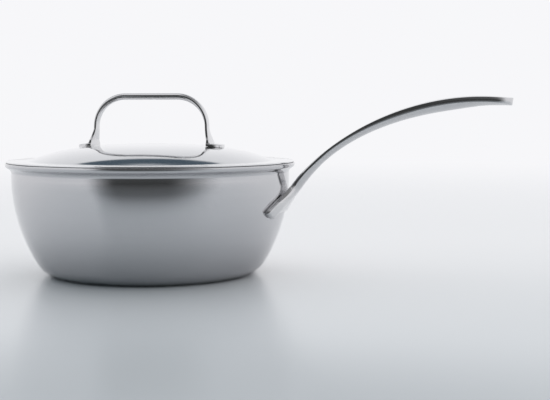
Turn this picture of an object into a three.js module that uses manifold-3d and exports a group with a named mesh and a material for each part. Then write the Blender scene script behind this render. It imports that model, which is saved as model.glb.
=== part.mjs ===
// Saucier with lid: a round-sided stainless pan with a flared pouring lip, a long cast
// handle on two welded feet, and a domed lift-off lid with an arched lifting handle.
// Units are millimetres. The origin is the middle of the base, on the table.
// +Z is up, along the pan's axis, and +X runs out along the long handle.

import * as THREE from 'three';
import { mergeVertices } from 'three/addons/utils/BufferGeometryUtils.js';
import Module from 'manifold-3d';

// Pan body, outside sizes
const LIP_RADIUS = 125;
const LIP_OVERHANG = 5;
const LIP_DROP = 8.5;
const LIP_TURN = 2.8;
const LIP_EDGE_HEIGHT = 3.4;
const LIP_SPREAD = 1.3;
const LIP_EDGE_ROUNDING = 0.9;
const RIM_HEIGHT = 96.9;
const WIDEST_BELOW_RIM = 12;
const WALL_SWEEP_RADIUS = 144;
const BASE_CORNER_RADIUS = 20;

// Pan body, plies of the clad sheet
const SKIN_PLY = 0.7;
const CORE_PLY = 1.7;
const LINER_PLY = 0.7;
const BOND_LINE = 0.15;
const CORE_STOP_BELOW_LIP = 2;

// Long handle, measured along and across its upper line
const HANDLE_LEAVE_HEIGHT = 66;
const HANDLE_REACH = 190;
const HANDLE_RISE = 85.7;
const HANDLE_ROOT_PULL = 22.5;
const HANDLE_GRIP_PULL = 108;
const HANDLE_TIP_DROOP_DEGREES = 8;
const HANDLE_FOOT_LENGTH = 14;
const HANDLE_FOOT_ARCH = 3;
const HANDLE_FOOT_CORNER = 5;
const HANDLE_FOOT_SPAN = 98;
const HANDLE_FOOT_THICKNESS = 5.2;
const HANDLE_FOOT_EDGE = 4.2;
const HANDLE_FOOT_NOSE = 5;
const HANDLE_WEB_NOSE = 14;
const HANDLE_SWELL_BELOW = 8;
const HANDLE_SHOULDER_WIDTH = 21;
const HANDLE_SHOULDER_THICKNESS = 7.8;
const HANDLE_SHOULDER_OUT = 15;
const HANDLE_NECK_WIDTH = 16;
const HANDLE_NECK_THICKNESS = 6.4;
const HANDLE_NECK_EDGE = 2.9;
const HANDLE_NECK_OUT = 55;
const HANDLE_GRIP_WIDTH = 23.5;
const HANDLE_GRIP_THICKNESS = 10.6;
const HANDLE_GRIP_EDGE = 4;
const HANDLE_GRIP_EDGE_OUT = 140;
const HANDLE_GRIP_CROWN = 0.9;
const HANDLE_GRIP_OUT = 165;
const HANDLE_TIP_THICKNESS = 7;
const HANDLE_TIP_ROUNDING = 14;
const HANGING_SLOT_LENGTH = 22;
const HANGING_SLOT_WIDTH = 8;
const HANGING_SLOT_FROM_TIP = 9;

// Long handle, shares of the sizes above and powers that shape its curves
const HANDLE_ARCH_SQUARENESS = 8;
const HANDLE_NOSE_LEAST = 0.3;
const HANDLE_WEB_LEAST = 0.08;
const HANDLE_WEB_ACROSS = 0.4;
const HANDLE_FOOT_ACROSS = 0.82;
const HANDLE_FOOT_SQUARE = 0.7;
const HANDLE_WELD_DOWN = 0.6;
const HANDLE_BELLY_FULLNESS = 2.4;

// Lid
const LID_RISE = 14;
const LID_SHEET = 1;
const LID_FLANGE_WIDTH = 18.3;
const LID_EDGE_SETBACK = 0.7;
const LID_EDGE_ROUNDING = 0.3;
const LID_SKIRT_DEPTH = 5;
const LID_SKIRT_CLEARANCE = 1;
const LID_DOME_FULLNESS = 3;

// Arched handle on the lid
const LIFTER_SPAN = 98.6;
const LIFTER_RISE = 41.3;
const LIFTER_BEND_RADIUS = 26;
const LIFTER_BAR_WIDTH = 11;
const LIFTER_BAR_THICKNESS = 5.6;
const LIFTER_LEG_WIDTH = 10.5;
const LIFTER_LEG_THICKNESS = 2.2;
const LIFTER_LEG_LEAN = 2.4;
const LIFTER_ANKLE_WIDTH = 23;
const LIFTER_INSTEP_WIDTH = 26;
const LIFTER_FOOT_WIDTH = 28;
const LIFTER_FOOT_LENGTH = 15.6;
const LIFTER_FOOT_THICKNESS = 2.4;
const LIFTER_FOOT_ROUNDING = 0.84;
const LIFTER_FOOT_FILLET = 2.5;

// Arched handle, shares of its bend where it thins, and powers that shape its legs and rings
const LIFTER_THINS_FROM = 0.1;
const LIFTER_THINS_TO = 1.1;
const LIFTER_FLARE = 1.6;
const RING_SQUARENESS = 0.7;

// Welds and fits
const SEAT_GAP = 0.3;
const WELD_RADIUS = 4;
const WELD_DEPTH = 1;
const WELD_ROOM = 0.15;

// Fineness of the round surfaces
const TURN_SEGMENTS = 40;
const CORNER_STEPS = 4;
const SWEEP_STEPS = 5;
const LIP_STEPS = 5;
const NOSE_STEPS = 3;
const DOME_STEPS = 9;
const DOME_CROWDING = 0.7;
const WELD_SIDES = 16;
const RING_POINTS = 12;
const MERGE_WITHIN = 1e-4;

const wasm = await Module();
wasm.setup();

const polished = { color: 0xd3d5d7, roughness: 0.12, metalness: 1 };
const satin = { color: 0xc2c3c5, roughness: 0.32, metalness: 1 };
const liner = { color: 0xcacbcd, roughness: 0.28, metalness: 1 };
const aluminium = { color: 0xb9bcc0, roughness: 0.45, metalness: 1 };
const weld = { color: 0xa9a9a8, roughness: 0.5, metalness: 1 };

function piece(name, geometry, finish) {
  const mesh = new THREE.Mesh(geometry, new THREE.MeshStandardMaterial(finish));
  mesh.name = name;
  return mesh;
}

// A profile of radius and height, turned round the pan's axis.
function turned(profile) {
  return new THREE.LatheGeometry(profile, TURN_SEGMENTS).rotateX(Math.PI / 2);
}

// Points of a circle in the profile plane, from one angle to another.
function arc(centre, radius, from, to, steps) {
  const points = [];
  for (let i = 0; i <= steps; i += 1) {
    const a = THREE.MathUtils.lerp(from, to, i / steps);
    points.push(new THREE.Vector2(centre.x + radius * Math.cos(a), centre.y + radius * Math.sin(a)));
  }
  return points;
}

// Smooth value between stops of [place, value], level outside the first and the last.
function along(stops, place) {
  let value = stops[0][1];
  for (let i = 1; i < stops.length; i += 1) {
    const share = THREE.MathUtils.smoothstep(place, stops[i - 1][0], stops[i][0]);
    value = THREE.MathUtils.lerp(value, stops[i][1], share);
  }
  return value;
}

// A closed skin over rings that all have the same number of points.
function loft(rings, startCap, endCap) {
  const count = rings[0].length;
  const points = rings.flat();
  const index = [];
  for (let i = 0; i + 1 < rings.length; i += 1) {
    for (let j = 0; j < count; j += 1) {
      const a = i * count + j;
      const b = i * count + (j + 1) % count;
      index.push(a, b, a + count, b, b + count, a + count);
    }
  }
  startCap(index, 0, count);
  endCap(index, (rings.length - 1) * count, count);
  const geometry = new THREE.BufferGeometry().setFromPoints(points);
  geometry.setIndex(index);
  geometry.computeVertexNormals();
  return geometry;
}

// End faces for a ring whose second half runs back beside its first half.
function closeAcross(reversed) {
  return (index, first, count) => {
    for (let j = 0; j + 1 < count / 2; j += 1) {
      const a = first + j;
      const b = first + j + 1;
      const c = first + count - 1 - j;
      const d = first + count - 2 - j;
      index.push(...(reversed ? [a, b, c, b, d, c] : [a, c, b, b, c, d]));
    }
  };
}

// End face for a plain ring, as a fan from its first point.
function closeRing(reversed) {
  return (index, first, count) => {
    for (let j = 1; j + 1 < count; j += 1) {
      const a = first + j;
      const b = first + j + 1;
      index.push(...(reversed ? [first, b, a] : [first, a, b]));
    }
  };
}

function toManifold(geometry) {
  const bare = geometry.clone();
  bare.deleteAttribute('normal');
  bare.deleteAttribute('uv');
  const merged = mergeVertices(bare, MERGE_WITHIN);
  return new wasm.Manifold(new wasm.Mesh({
    numProp: 3,
    vertProperties: new Float32Array(merged.attributes.position.array),
    triVerts: new Uint32Array(merged.index.array),
  }));
}

function cut(geometry, cutters) {
  const whole = toManifold(geometry);
  const mesh = cutters.reduce((solid, cutter) => solid.subtract(toManifold(cutter)), whole).getMesh();
  const result = new THREE.BufferGeometry();
  result.setAttribute('position', new THREE.Float32BufferAttribute(mesh.vertProperties, 3));
  result.setIndex(Array.from(mesh.triVerts));
  result.computeVertexNormals();
  return result;
}

// A flat weld nugget standing on Z, from within the seat's gap into the piece above it.
// With room it is the pocket for the nugget, which also reaches through the gap.
function weldDisc(room) {
  const start = room > 0 ? -WELD_DEPTH : SEAT_GAP - WELD_ROOM;
  const end = SEAT_GAP + WELD_DEPTH - (room > 0 ? 0 : WELD_ROOM);
  const disc = new THREE.CylinderGeometry(WELD_RADIUS + room, WELD_RADIUS + room, end - start, WELD_SIDES);
  disc.rotateX(Math.PI / 2);
  return disc.translate(0, 0, (start + end) / 2);
}

// Pan body: the outside is a flat base, a small corner, one wide sweep and a flared lip.
// Every ply follows it at its own depth below that outside.
const wallRadius = LIP_RADIUS - LIP_OVERHANG;
const sweepCentre = new THREE.Vector2(wallRadius - WALL_SWEEP_RADIUS, RIM_HEIGHT - WIDEST_BELOW_RIM);
const cornerReach = Math.sqrt(
  (WALL_SWEEP_RADIUS - BASE_CORNER_RADIUS) ** 2 - (BASE_CORNER_RADIUS - sweepCentre.y) ** 2,
);
const baseRadius = sweepCentre.x + cornerReach;
const cornerCentre = new THREE.Vector2(baseRadius, BASE_CORNER_RADIUS);
const cornerToSweep = Math.atan2(cornerCentre.y - sweepCentre.y, cornerReach);
const lipStart = Math.asin((RIM_HEIGHT - LIP_DROP - sweepCentre.y) / WALL_SWEEP_RADIUS);
const coreStop = lipStart - CORE_STOP_BELOW_LIP / WALL_SWEEP_RADIUS;
const liningDepth = SKIN_PLY + CORE_PLY + 2 * BOND_LINE;
const wallThickness = liningDepth + LINER_PLY;

function sweepPoint(depth, angle) {
  return arc(sweepCentre, WALL_SWEEP_RADIUS - depth, angle, angle, 1)[0];
}

// From the axis, along the base, round the corner and up the sweep to an angle.
function bowlLine(depth, upTo) {
  return [
    new THREE.Vector2(0, depth),
    ...arc(cornerCentre, BASE_CORNER_RADIUS - depth, -Math.PI / 2, cornerToSweep, CORNER_STEPS),
    ...arc(sweepCentre, WALL_SWEEP_RADIUS - depth, cornerToSweep, upTo, SWEEP_STEPS).slice(1),
  ];
}

// From the top of the sweep, up to where the lip turns, and out along the lip to its edge.
function lipLine(depth, turn, drop) {
  const start = sweepPoint(depth, lipStart);
  const rise = new THREE.Vector2(-Math.sin(lipStart), Math.cos(lipStart));
  const middle = start.clone().addScaledVector(rise, turn);
  const end = new THREE.Vector2(LIP_RADIUS - depth * LIP_SPREAD, RIM_HEIGHT - drop);
  return new THREE.QuadraticBezierCurve(start, middle, end).getPoints(LIP_STEPS).slice(1);
}

function outerShell() {
  const edge = SKIN_PLY * LIP_SPREAD;
  const nose = arc(new THREE.Vector2(LIP_RADIUS - edge, RIM_HEIGHT - edge), edge, 0, Math.PI / 2, NOSE_STEPS);
  return turned([
    ...bowlLine(0, lipStart),
    ...lipLine(0, LIP_TURN, LIP_EDGE_HEIGHT),
    ...nose,
    ...lipLine(SKIN_PLY, LIP_DROP / 2, 0).reverse().slice(1),
    ...bowlLine(SKIN_PLY, lipStart).reverse(),
  ]);
}

function aluminiumCore() {
  const outside = SKIN_PLY + BOND_LINE;
  return turned([...bowlLine(outside, coreStop), ...bowlLine(outside + CORE_PLY, coreStop).reverse()]);
}

// The inner ply closes over the core under the lip, so that no aluminium shows.
function innerLiner() {
  const behindSkin = SKIN_PLY + BOND_LINE;
  const step = coreStop + BOND_LINE / WALL_SWEEP_RADIUS;
  const inside = lipLine(wallThickness, LIP_DROP / 2, LIP_EDGE_ROUNDING).reverse();
  const landEdge = new THREE.Vector2(inside[0].x + LIP_EDGE_ROUNDING, RIM_HEIGHT);
  return turned([
    ...bowlLine(liningDepth, step),
    ...arc(sweepCentre, WALL_SWEEP_RADIUS - behindSkin, step, lipStart, 1),
    ...lipLine(behindSkin, LIP_DROP / 2, 0),
    landEdge,
    ...inside,
    ...bowlLine(wallThickness, lipStart).reverse(),
  ]);
}

// Long handle: its upper line climbs the wall, leaves it and sweeps out to a level grip.
// Places along it are counted from where it leaves the wall, negative down on the feet.
const leaveAngle = Math.asin((HANDLE_LEAVE_HEIGHT - sweepCentre.y) / WALL_SWEEP_RADIUS);
const leave = sweepPoint(-SEAT_GAP, leaveAngle);
const tip = new THREE.Vector2(leave.x + HANDLE_REACH, leave.y + HANDLE_RISE);
const droop = THREE.MathUtils.degToRad(HANDLE_TIP_DROOP_DEGREES);
const upTheWall = new THREE.Vector2(-Math.sin(leaveAngle), Math.cos(leaveAngle));
const backFromTip = new THREE.Vector2(-Math.cos(droop), Math.sin(droop));
const upperLine = new THREE.CubicBezierCurve(
  leave,
  leave.clone().addScaledVector(upTheWall, HANDLE_ROOT_PULL),
  tip.clone().addScaledVector(backFromTip, HANDLE_GRIP_PULL),
  tip,
);
const upperLength = upperLine.getLength();
const footStart = -HANDLE_FOOT_LENGTH;

const halfWidth = (place) => along([
  [footStart * HANDLE_FOOT_SQUARE, HANDLE_FOOT_SPAN / 2],
  [HANDLE_SHOULDER_OUT, HANDLE_SHOULDER_WIDTH / 2],
  [HANDLE_NECK_OUT, HANDLE_NECK_WIDTH / 2],
  [HANDLE_GRIP_OUT, HANDLE_GRIP_WIDTH / 2],
], place);
const thickness = (place) => along([
  [-HANDLE_SWELL_BELOW, HANDLE_FOOT_THICKNESS],
  [HANDLE_SHOULDER_OUT, HANDLE_SHOULDER_THICKNESS],
  [HANDLE_NECK_OUT, HANDLE_NECK_THICKNESS],
  [HANDLE_GRIP_OUT, HANDLE_GRIP_THICKNESS],
  [upperLength, HANDLE_TIP_THICKNESS],
], place);
const edgeHeight = (place) => along([
  [0, HANDLE_FOOT_EDGE],
  [HANDLE_NECK_OUT, HANDLE_NECK_EDGE],
  [HANDLE_GRIP_EDGE_OUT, HANDLE_GRIP_EDGE],
], place);
const crown = (place) => along([[0, 0], [HANDLE_GRIP_OUT, HANDLE_GRIP_CROWN]], place);

// Share of the width that is left where the grip's end is rounded off.
function tipShare(place) {
  const past = (place - upperLength + HANDLE_TIP_ROUNDING) / HANDLE_TIP_ROUNDING;
  return past > 0 ? Math.sqrt(Math.max(1 - past * past, 0)) : 1;
}

// Where the root ends, across the handle: two rounded feet with an arch between them.
function rootEnd(across) {
  const inside = Math.min(Math.abs(across) / HANDLE_FOOT_ACROSS, 1);
  const outside = Math.max((Math.abs(across) - HANDLE_FOOT_ACROSS) / (1 - HANDLE_FOOT_ACROSS), 0);
  const arch = HANDLE_FOOT_ARCH * (1 - inside ** HANDLE_ARCH_SQUARENESS);
  return footStart + arch + HANDLE_FOOT_CORNER * outside ** 2;
}

// Share of the thickness that is left where the root's end comes down to the wall: the
// feet end in a round nose, and the web between them thins out in a long taper.
function noseShare(place, across) {
  const { lerp, smoothstep } = THREE.MathUtils;
  const foot = smoothstep(Math.abs(across), HANDLE_WEB_ACROSS, HANDLE_FOOT_ACROSS);
  const nose = lerp(HANDLE_WEB_NOSE, HANDLE_FOOT_NOSE, foot);
  const least = lerp(HANDLE_WEB_LEAST, HANDLE_NOSE_LEAST, foot);
  const short = 1 - Math.min((place - rootEnd(across)) / nose, 1);
  const taper = Math.sin((1 - short) * Math.PI / 2);
  return lerp(least, 1, lerp(taper, Math.sqrt(1 - short * short), foot));
}

// A point of the handle: a place along it, a share across it and a share of the way down.
function handlePoint(place, across, down) {
  let top;
  let rise;
  if (place < 0) {
    const angle = leaveAngle + place / WALL_SWEEP_RADIUS;
    top = sweepPoint(-SEAT_GAP, angle);
    rise = new THREE.Vector2(-Math.sin(angle), Math.cos(angle));
  } else {
    const share = Math.min(place / upperLength, 1);
    top = upperLine.getPointAt(share);
    rise = upperLine.getTangentAt(share);
  }
  const belly = thickness(place) - edgeHeight(place) - crown(place);
  const sink = down === 0
    ? crown(place) * across * across
    : crown(place) + edgeHeight(place) + belly * (1 - Math.abs(across) ** HANDLE_BELLY_FULLNESS);
  const depth = sink * noseShare(place, across);
  const y = across * halfWidth(place) * tipShare(place);
  const wrap = 1 - THREE.MathUtils.smoothstep(place, 0, HANDLE_NECK_OUT);
  const round = top.x - Math.sqrt(top.x * top.x - y * y);
  return new THREE.Vector3(top.x + rise.y * depth - round * wrap, y, top.y - rise.x * depth);
}

function panHandle() {
  const oneSide = [1, 0.91, HANDLE_FOOT_ACROSS, 0.73, 0.64, 0.52, 0.28];
  const columns = [...oneSide, 0, ...oneSide.map((across) => -across).reverse()];
  const rings = [];
  const ringAt = (placeOf) => [
    ...columns.map((across) => handlePoint(placeOf(across), across, 0)),
    ...columns.map((across) => handlePoint(placeOf(-across), -across, 1)),
  ];
  for (const share of [0, 0.08, 0.2, 0.36, 0.6]) {
    rings.push(ringAt((across) => rootEnd(across) * (1 - share)));
  }
  const shankRings = 16;
  const straightEnd = upperLength - HANDLE_TIP_ROUNDING;
  for (let i = 0; i < shankRings; i += 1) {
    const place = straightEnd * (i / shankRings) ** 1.5;
    rings.push(ringAt(() => place));
  }
  for (const turn of [0, 25, 45, 62, 76, 87]) {
    const place = straightEnd + HANDLE_TIP_ROUNDING * Math.sin(THREE.MathUtils.degToRad(turn));
    rings.push(ringAt(() => place));
  }
  const slot = new THREE.Shape();
  const slotRadius = HANGING_SLOT_WIDTH / 2;
  const slotOut = tip.x - HANGING_SLOT_FROM_TIP - slotRadius;
  const slotIn = slotOut - HANGING_SLOT_LENGTH + HANGING_SLOT_WIDTH;
  slot.absarc(slotOut, 0, slotRadius, -Math.PI / 2, Math.PI / 2);
  slot.absarc(slotIn, 0, slotRadius, Math.PI / 2, Math.PI * 1.5);
  const slotDepth = 4 * HANDLE_GRIP_THICKNESS;
  const through = { depth: slotDepth, bevelEnabled: false, curveSegments: 8 };
  const slotCutter = new THREE.ExtrudeGeometry(slot, through);
  slotCutter.translate(0, 0, tip.y - slotDepth / 2);
  const pockets = [-1, 1].map((side) => weldAt(side, WELD_ROOM));
  return cut(loft(rings, closeAcross(false), closeAcross(true)), [slotCutter, ...pockets]);
}

// A weld nugget between the pan wall and one foot, or with room the pocket for it.
function weldAt(side, room) {
  const place = footStart * HANDLE_WELD_DOWN;
  const angle = leaveAngle + place / WALL_SWEEP_RADIUS;
  const turn = side * Math.asin((HANDLE_FOOT_ACROSS * halfWidth(place)) / sweepPoint(0, angle).x);
  const disc = weldDisc(room);
  disc.rotateY(Math.PI / 2);
  disc.translate(WALL_SWEEP_RADIUS, 0, 0);
  disc.rotateY(-angle);
  disc.translate(sweepCentre.x, 0, sweepCentre.y);
  return disc.rotateZ(turn);
}

// Lid: a dome with a flat crown, a flat flange on the lip, and a skirt that keeps it centred.
const flangeUnder = RIM_HEIGHT + SEAT_GAP;
const flangeTop = flangeUnder + LID_SHEET;
const lidEdge = LIP_RADIUS - LID_EDGE_SETBACK;
const domeEdge = lidEdge - LID_FLANGE_WIDTH;
const skirtOuter = wallRadius - wallThickness - LID_SKIRT_CLEARANCE;
const skirtInner = skirtOuter - LID_SHEET;

function domeHeight(radius) {
  return flangeTop + LID_RISE * (1 - (radius / domeEdge) ** LID_DOME_FULLNESS);
}

// From the axis out to the dome's edge, at a depth below its top face.
function domeLine(depth) {
  const points = [];
  for (let i = 0; i <= DOME_STEPS; i += 1) {
    const radius = domeEdge * (i / DOME_STEPS) ** DOME_CROWDING;
    points.push(new THREE.Vector2(radius, domeHeight(radius) - depth));
  }
  return points;
}

function lidShell() {
  const skirtFoot = flangeUnder - LID_SKIRT_DEPTH;
  return turned([
    ...domeLine(LID_SHEET),
    new THREE.Vector2(skirtInner, flangeUnder),
    new THREE.Vector2(skirtInner, skirtFoot),
    new THREE.Vector2(skirtOuter, skirtFoot),
    new THREE.Vector2(skirtOuter, flangeUnder),
    new THREE.Vector2(lidEdge - LID_EDGE_ROUNDING, flangeUnder),
    new THREE.Vector2(lidEdge, flangeUnder + LID_EDGE_ROUNDING),
    new THREE.Vector2(lidEdge, flangeTop - LID_EDGE_ROUNDING),
    new THREE.Vector2(lidEdge - LID_EDGE_ROUNDING, flangeTop),
    ...domeLine(0).reverse(),
  ]);
}

// Arched lid handle: a thick bar that thins through its bends to flat legs, which spread
// and lean out into feet lying on the dome.
const lifterLeg = LIFTER_SPAN / 2;
const lifterTop = flangeTop + LID_RISE + LIFTER_RISE;
const bendCentre = new THREE.Vector2(lifterLeg - LIFTER_BEND_RADIUS, lifterTop - LIFTER_BEND_RADIUS);

// One rounded ring across the handle: where its middle is, which way is out, how far it
// reaches inwards and outwards from there, and its half width.
function lifterRing(middle, out, inwards, outwards, half) {
  const ring = [];
  const shaped = (value) => Math.sign(value) * Math.abs(value) ** RING_SQUARENESS;
  for (let i = 0; i < RING_POINTS; i += 1) {
    const turn = (i / RING_POINTS) * 2 * Math.PI;
    const side = shaped(Math.cos(turn));
    const reach = side * (side > 0 ? outwards : inwards);
    ring.push(new THREE.Vector3(
      middle.x + out.x * reach,
      -half * shaped(Math.sin(turn)),
      middle.y + out.y * reach,
    ));
  }
  return ring;
}

// A ring of the leg or its foot, lying at a height above the dome all round.
function footRing(lean, outwards, half, height) {
  const seat = new THREE.Vector2(lifterLeg + lean, 0);
  const ring = lifterRing(seat, new THREE.Vector2(1, 0), LIFTER_LEG_THICKNESS / 2, outwards, half);
  for (const point of ring) {
    point.z = domeHeight(Math.hypot(point.x, point.y)) + SEAT_GAP + height;
  }
  return ring;
}

function lidHandle() {
  const legHalf = LIFTER_LEG_THICKNESS / 2;
  const barHalf = LIFTER_BAR_THICKNESS / 2;
  const half = [];
  for (const share of [0, 0.45, 0.8]) {
    const middle = new THREE.Vector2(bendCentre.x * share, lifterTop);
    half.push(lifterRing(middle, new THREE.Vector2(0, 1), barHalf, barHalf, LIFTER_BAR_WIDTH / 2));
  }
  const bendSteps = 6;
  for (let i = 0; i <= bendSteps; i += 1) {
    const share = i / bendSteps;
    const angle = (Math.PI / 2) * (1 - share);
    const out = new THREE.Vector2(Math.cos(angle), Math.sin(angle));
    const middle = bendCentre.clone().addScaledVector(out, LIFTER_BEND_RADIUS);
    const thin = THREE.MathUtils.smoothstep(share, LIFTER_THINS_FROM, LIFTER_THINS_TO);
    const depth = THREE.MathUtils.lerp(barHalf, legHalf, thin);
    const width = THREE.MathUtils.lerp(LIFTER_BAR_WIDTH, LIFTER_LEG_WIDTH, share);
    half.push(lifterRing(middle, out, depth, depth, width / 2));
  }
  const legTop = bendCentre.y - domeHeight(lifterLeg) - SEAT_GAP;
  for (const share of [0.3, 0.55, 0.75, 0.9]) {
    const height = THREE.MathUtils.lerp(legTop, LIFTER_FOOT_THICKNESS + LIFTER_FOOT_FILLET, share);
    const width = THREE.MathUtils.lerp(LIFTER_LEG_WIDTH, LIFTER_ANKLE_WIDTH, share ** LIFTER_FLARE);
    const lean = LIFTER_LEG_LEAN * share ** LIFTER_FLARE;
    half.push(footRing(lean, legHalf, width / 2, height));
  }
  for (const turn of [0, 30, 60, 90]) {
    const a = THREE.MathUtils.degToRad(turn);
    const height = LIFTER_FOOT_THICKNESS + LIFTER_FOOT_FILLET * (1 - Math.sin(a));
    const outwards = legHalf + LIFTER_FOOT_FILLET * (1 - Math.cos(a));
    const width = THREE.MathUtils.lerp(LIFTER_ANKLE_WIDTH, LIFTER_INSTEP_WIDTH, Math.sin(a));
    half.push(footRing(LIFTER_LEG_LEAN, outwards, width / 2, height));
  }
  const toe = LIFTER_FOOT_LENGTH - legHalf - LIFTER_LEG_LEAN;
  const soleHalf = LIFTER_FOOT_WIDTH / 2;
  const rounding = LIFTER_FOOT_ROUNDING;
  half.push(footRing(LIFTER_LEG_LEAN, toe - rounding, soleHalf - rounding, LIFTER_FOOT_THICKNESS));
  half.push(footRing(LIFTER_LEG_LEAN, toe, soleHalf, LIFTER_FOOT_THICKNESS - rounding));
  half.push(footRing(LIFTER_LEG_LEAN, toe, soleHalf, 0));
  const mirrored = half.slice(1).reverse().map((ring) => ring.map((p) => new THREE.Vector3(-p.x, p.y, p.z)));
  const pockets = [-1, 1].map((side) => lidWeldAt(side, WELD_ROOM));
  return cut(loft([...mirrored, ...half], closeRing(true), closeRing(false)), pockets);
}

// A weld nugget between the dome and one foot of its handle, or the pocket for it.
function lidWeldAt(side, room) {
  const out = lifterLeg + LIFTER_FOOT_LENGTH / 2;
  const reach = LIFTER_FOOT_LENGTH / 4;
  const fall = Math.atan2(domeHeight(out - reach) - domeHeight(out + reach), 2 * reach);
  const disc = weldDisc(room);
  disc.rotateY(side * fall);
  return disc.translate(side * out, 0, domeHeight(out));
}

const saucier = new THREE.Group();
saucier.add(
  piece('outer_shell', outerShell(), satin),
  piece('aluminium_core', aluminiumCore(), aluminium),
  piece('inner_liner', innerLiner(), liner),
  piece('pan_handle', panHandle(), polished),
  piece('handle_weld_left', weldAt(1, 0), weld),
  piece('handle_weld_right', weldAt(-1, 0), weld),
);
const lid = new THREE.Group();
lid.add(
  piece('lid_shell', lidShell(), polished),
  piece('lid_handle', lidHandle(), polished),
  piece('lid_weld_left', lidWeldAt(-1, 0), weld),
  piece('lid_weld_right', lidWeldAt(1, 0), weld),
);
saucier.add(lid);

export default saucier;
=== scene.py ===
import bisect
import math

import bmesh
import bpy
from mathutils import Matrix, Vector


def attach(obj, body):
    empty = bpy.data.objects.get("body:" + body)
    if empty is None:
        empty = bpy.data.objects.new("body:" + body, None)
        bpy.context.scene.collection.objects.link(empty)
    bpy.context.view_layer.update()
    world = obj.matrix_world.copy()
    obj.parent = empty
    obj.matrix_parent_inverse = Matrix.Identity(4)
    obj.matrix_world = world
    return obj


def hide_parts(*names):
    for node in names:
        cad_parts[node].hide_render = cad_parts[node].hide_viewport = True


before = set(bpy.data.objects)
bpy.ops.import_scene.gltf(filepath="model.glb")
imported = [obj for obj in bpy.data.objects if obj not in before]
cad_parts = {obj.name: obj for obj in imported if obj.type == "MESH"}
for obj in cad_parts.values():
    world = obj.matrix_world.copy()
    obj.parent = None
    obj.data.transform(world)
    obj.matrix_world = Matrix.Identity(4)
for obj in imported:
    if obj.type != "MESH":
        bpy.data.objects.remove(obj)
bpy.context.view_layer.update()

# Outer shell: the steel skin of the clad pan, drawn from sheet and spun round its axis.
# It has a flat base, a small corner, one wide sweep and a lip rolled outwards for pouring.
# The outside is brushed round the pan to a satin finish, with a faint painted shade low down, darker
# towards the base.
LIP_RADIUS = 0.125
LIP_OVERHANG = 0.005
LIP_DROP = 0.0085
LIP_TURN = 0.0028
LIP_EDGE_HEIGHT = 0.0034
LIP_CORNER = 0.0023
LIP_SPREAD = 1.3
RIM_HEIGHT = 0.0969
WIDEST_BELOW_RIM = 0.012
WALL_SWEEP_RADIUS = 0.144
BASE_CORNER_RADIUS = 0.020
SKIN_PLY = 0.0007
SATIN_STEEL = (0.62, 0.62, 0.635)
SATIN_STEEL_WORN = (0.57, 0.57, 0.585)
BASE_SHADE_STEEL = (0.42, 0.42, 0.435)
BASE_SHADE_UP_TO = 0.042
UNSHADED_AT_BASE = 0.25

wall_radius = LIP_RADIUS - LIP_OVERHANG
sweep_centre = Vector((wall_radius - WALL_SWEEP_RADIUS, RIM_HEIGHT - WIDEST_BELOW_RIM))
corner_reach = math.sqrt(
    (WALL_SWEEP_RADIUS - BASE_CORNER_RADIUS) ** 2 - (BASE_CORNER_RADIUS - sweep_centre.y) ** 2
)
corner_centre = Vector((sweep_centre.x + corner_reach, BASE_CORNER_RADIUS))
corner_to_sweep = math.atan2(corner_centre.y - sweep_centre.y, corner_reach)
lip_start = math.asin((RIM_HEIGHT - LIP_DROP - sweep_centre.y) / WALL_SWEEP_RADIUS)


def arc(centre, radius, start, end, steps):
    """Points of a circle in the plane of radius and height."""
    turns = [start + (end - start) * i / steps for i in range(steps + 1)]
    return [centre + radius * Vector((math.cos(turn), math.sin(turn))) for turn in turns]


def sweep_point(depth, angle):
    """A point of the wall's sweep, at a depth below the pan's outside."""
    return arc(sweep_centre, WALL_SWEEP_RADIUS - depth, angle, angle, 1)[0]


def bowl_line(depth, up_to):
    """From the axis along the base, round the corner and up the sweep to an angle."""
    base = [Vector((corner_centre.x * share, depth)) for share in (0, 0.25, 0.5, 0.75, 0.97)]
    corner = arc(corner_centre, BASE_CORNER_RADIUS - depth, -math.pi / 2, corner_to_sweep, 12)
    sweep = arc(sweep_centre, WALL_SWEEP_RADIUS - depth, corner_to_sweep, up_to, 24)
    return base + corner + sweep[1:]


def bend(start, middle, end, steps):
    """Points of a smooth bend that leaves its start and reaches its end towards a middle."""
    shares = [i / steps for i in range(steps + 1)]
    return [(1 - t) ** 2 * start + 2 * t * (1 - t) * middle + t * t * end for t in shares]


def lip_line(depth, turn, drop):
    """From the top of the sweep, up to where the lip turns, and out along it to its edge."""
    start = sweep_point(depth, lip_start)
    middle = start + turn * Vector((-math.sin(lip_start), math.cos(lip_start)))
    end = Vector((LIP_RADIUS - depth * LIP_SPREAD, RIM_HEIGHT - drop))
    return bend(start, middle, end, 14)[1:]


def finished(name, shape, crease):
    """An object from a bmesh, smooth but for edges sharper than an angle in degrees."""
    bmesh.ops.recalc_face_normals(shape, faces=shape.faces)
    for face in shape.faces:
        face.smooth = True
    mesh = bpy.data.meshes.new(name)
    shape.to_mesh(mesh)
    shape.free()
    mesh.set_sharp_from_angle(angle=math.radians(crease))
    made = bpy.data.objects.new(name, mesh)
    bpy.context.scene.collection.objects.link(made)
    return made


def turned(name, line, crease=40):
    """A closed skin turned round the pan's axis, from a line that starts and ends on it."""
    rounds = 144
    shape = bmesh.new()
    rings = []
    for point in line:
        if point.x < 1e-6:
            rings.append([shape.verts.new((0, 0, point.y))] * rounds)
            continue
        turns = [2 * math.pi * i / rounds for i in range(rounds)]
        rings.append([
            shape.verts.new((point.x * math.cos(t), point.x * math.sin(t), point.y)) for t in turns
        ])
    for low, high in zip(rings, rings[1:]):
        for i in range(rounds):
            j = (i + 1) % rounds
            corners = [low[i], low[j], high[j], high[i]]
            shape.faces.new(list(dict.fromkeys(corners)))
    return finished(name, shape, crease)


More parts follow.
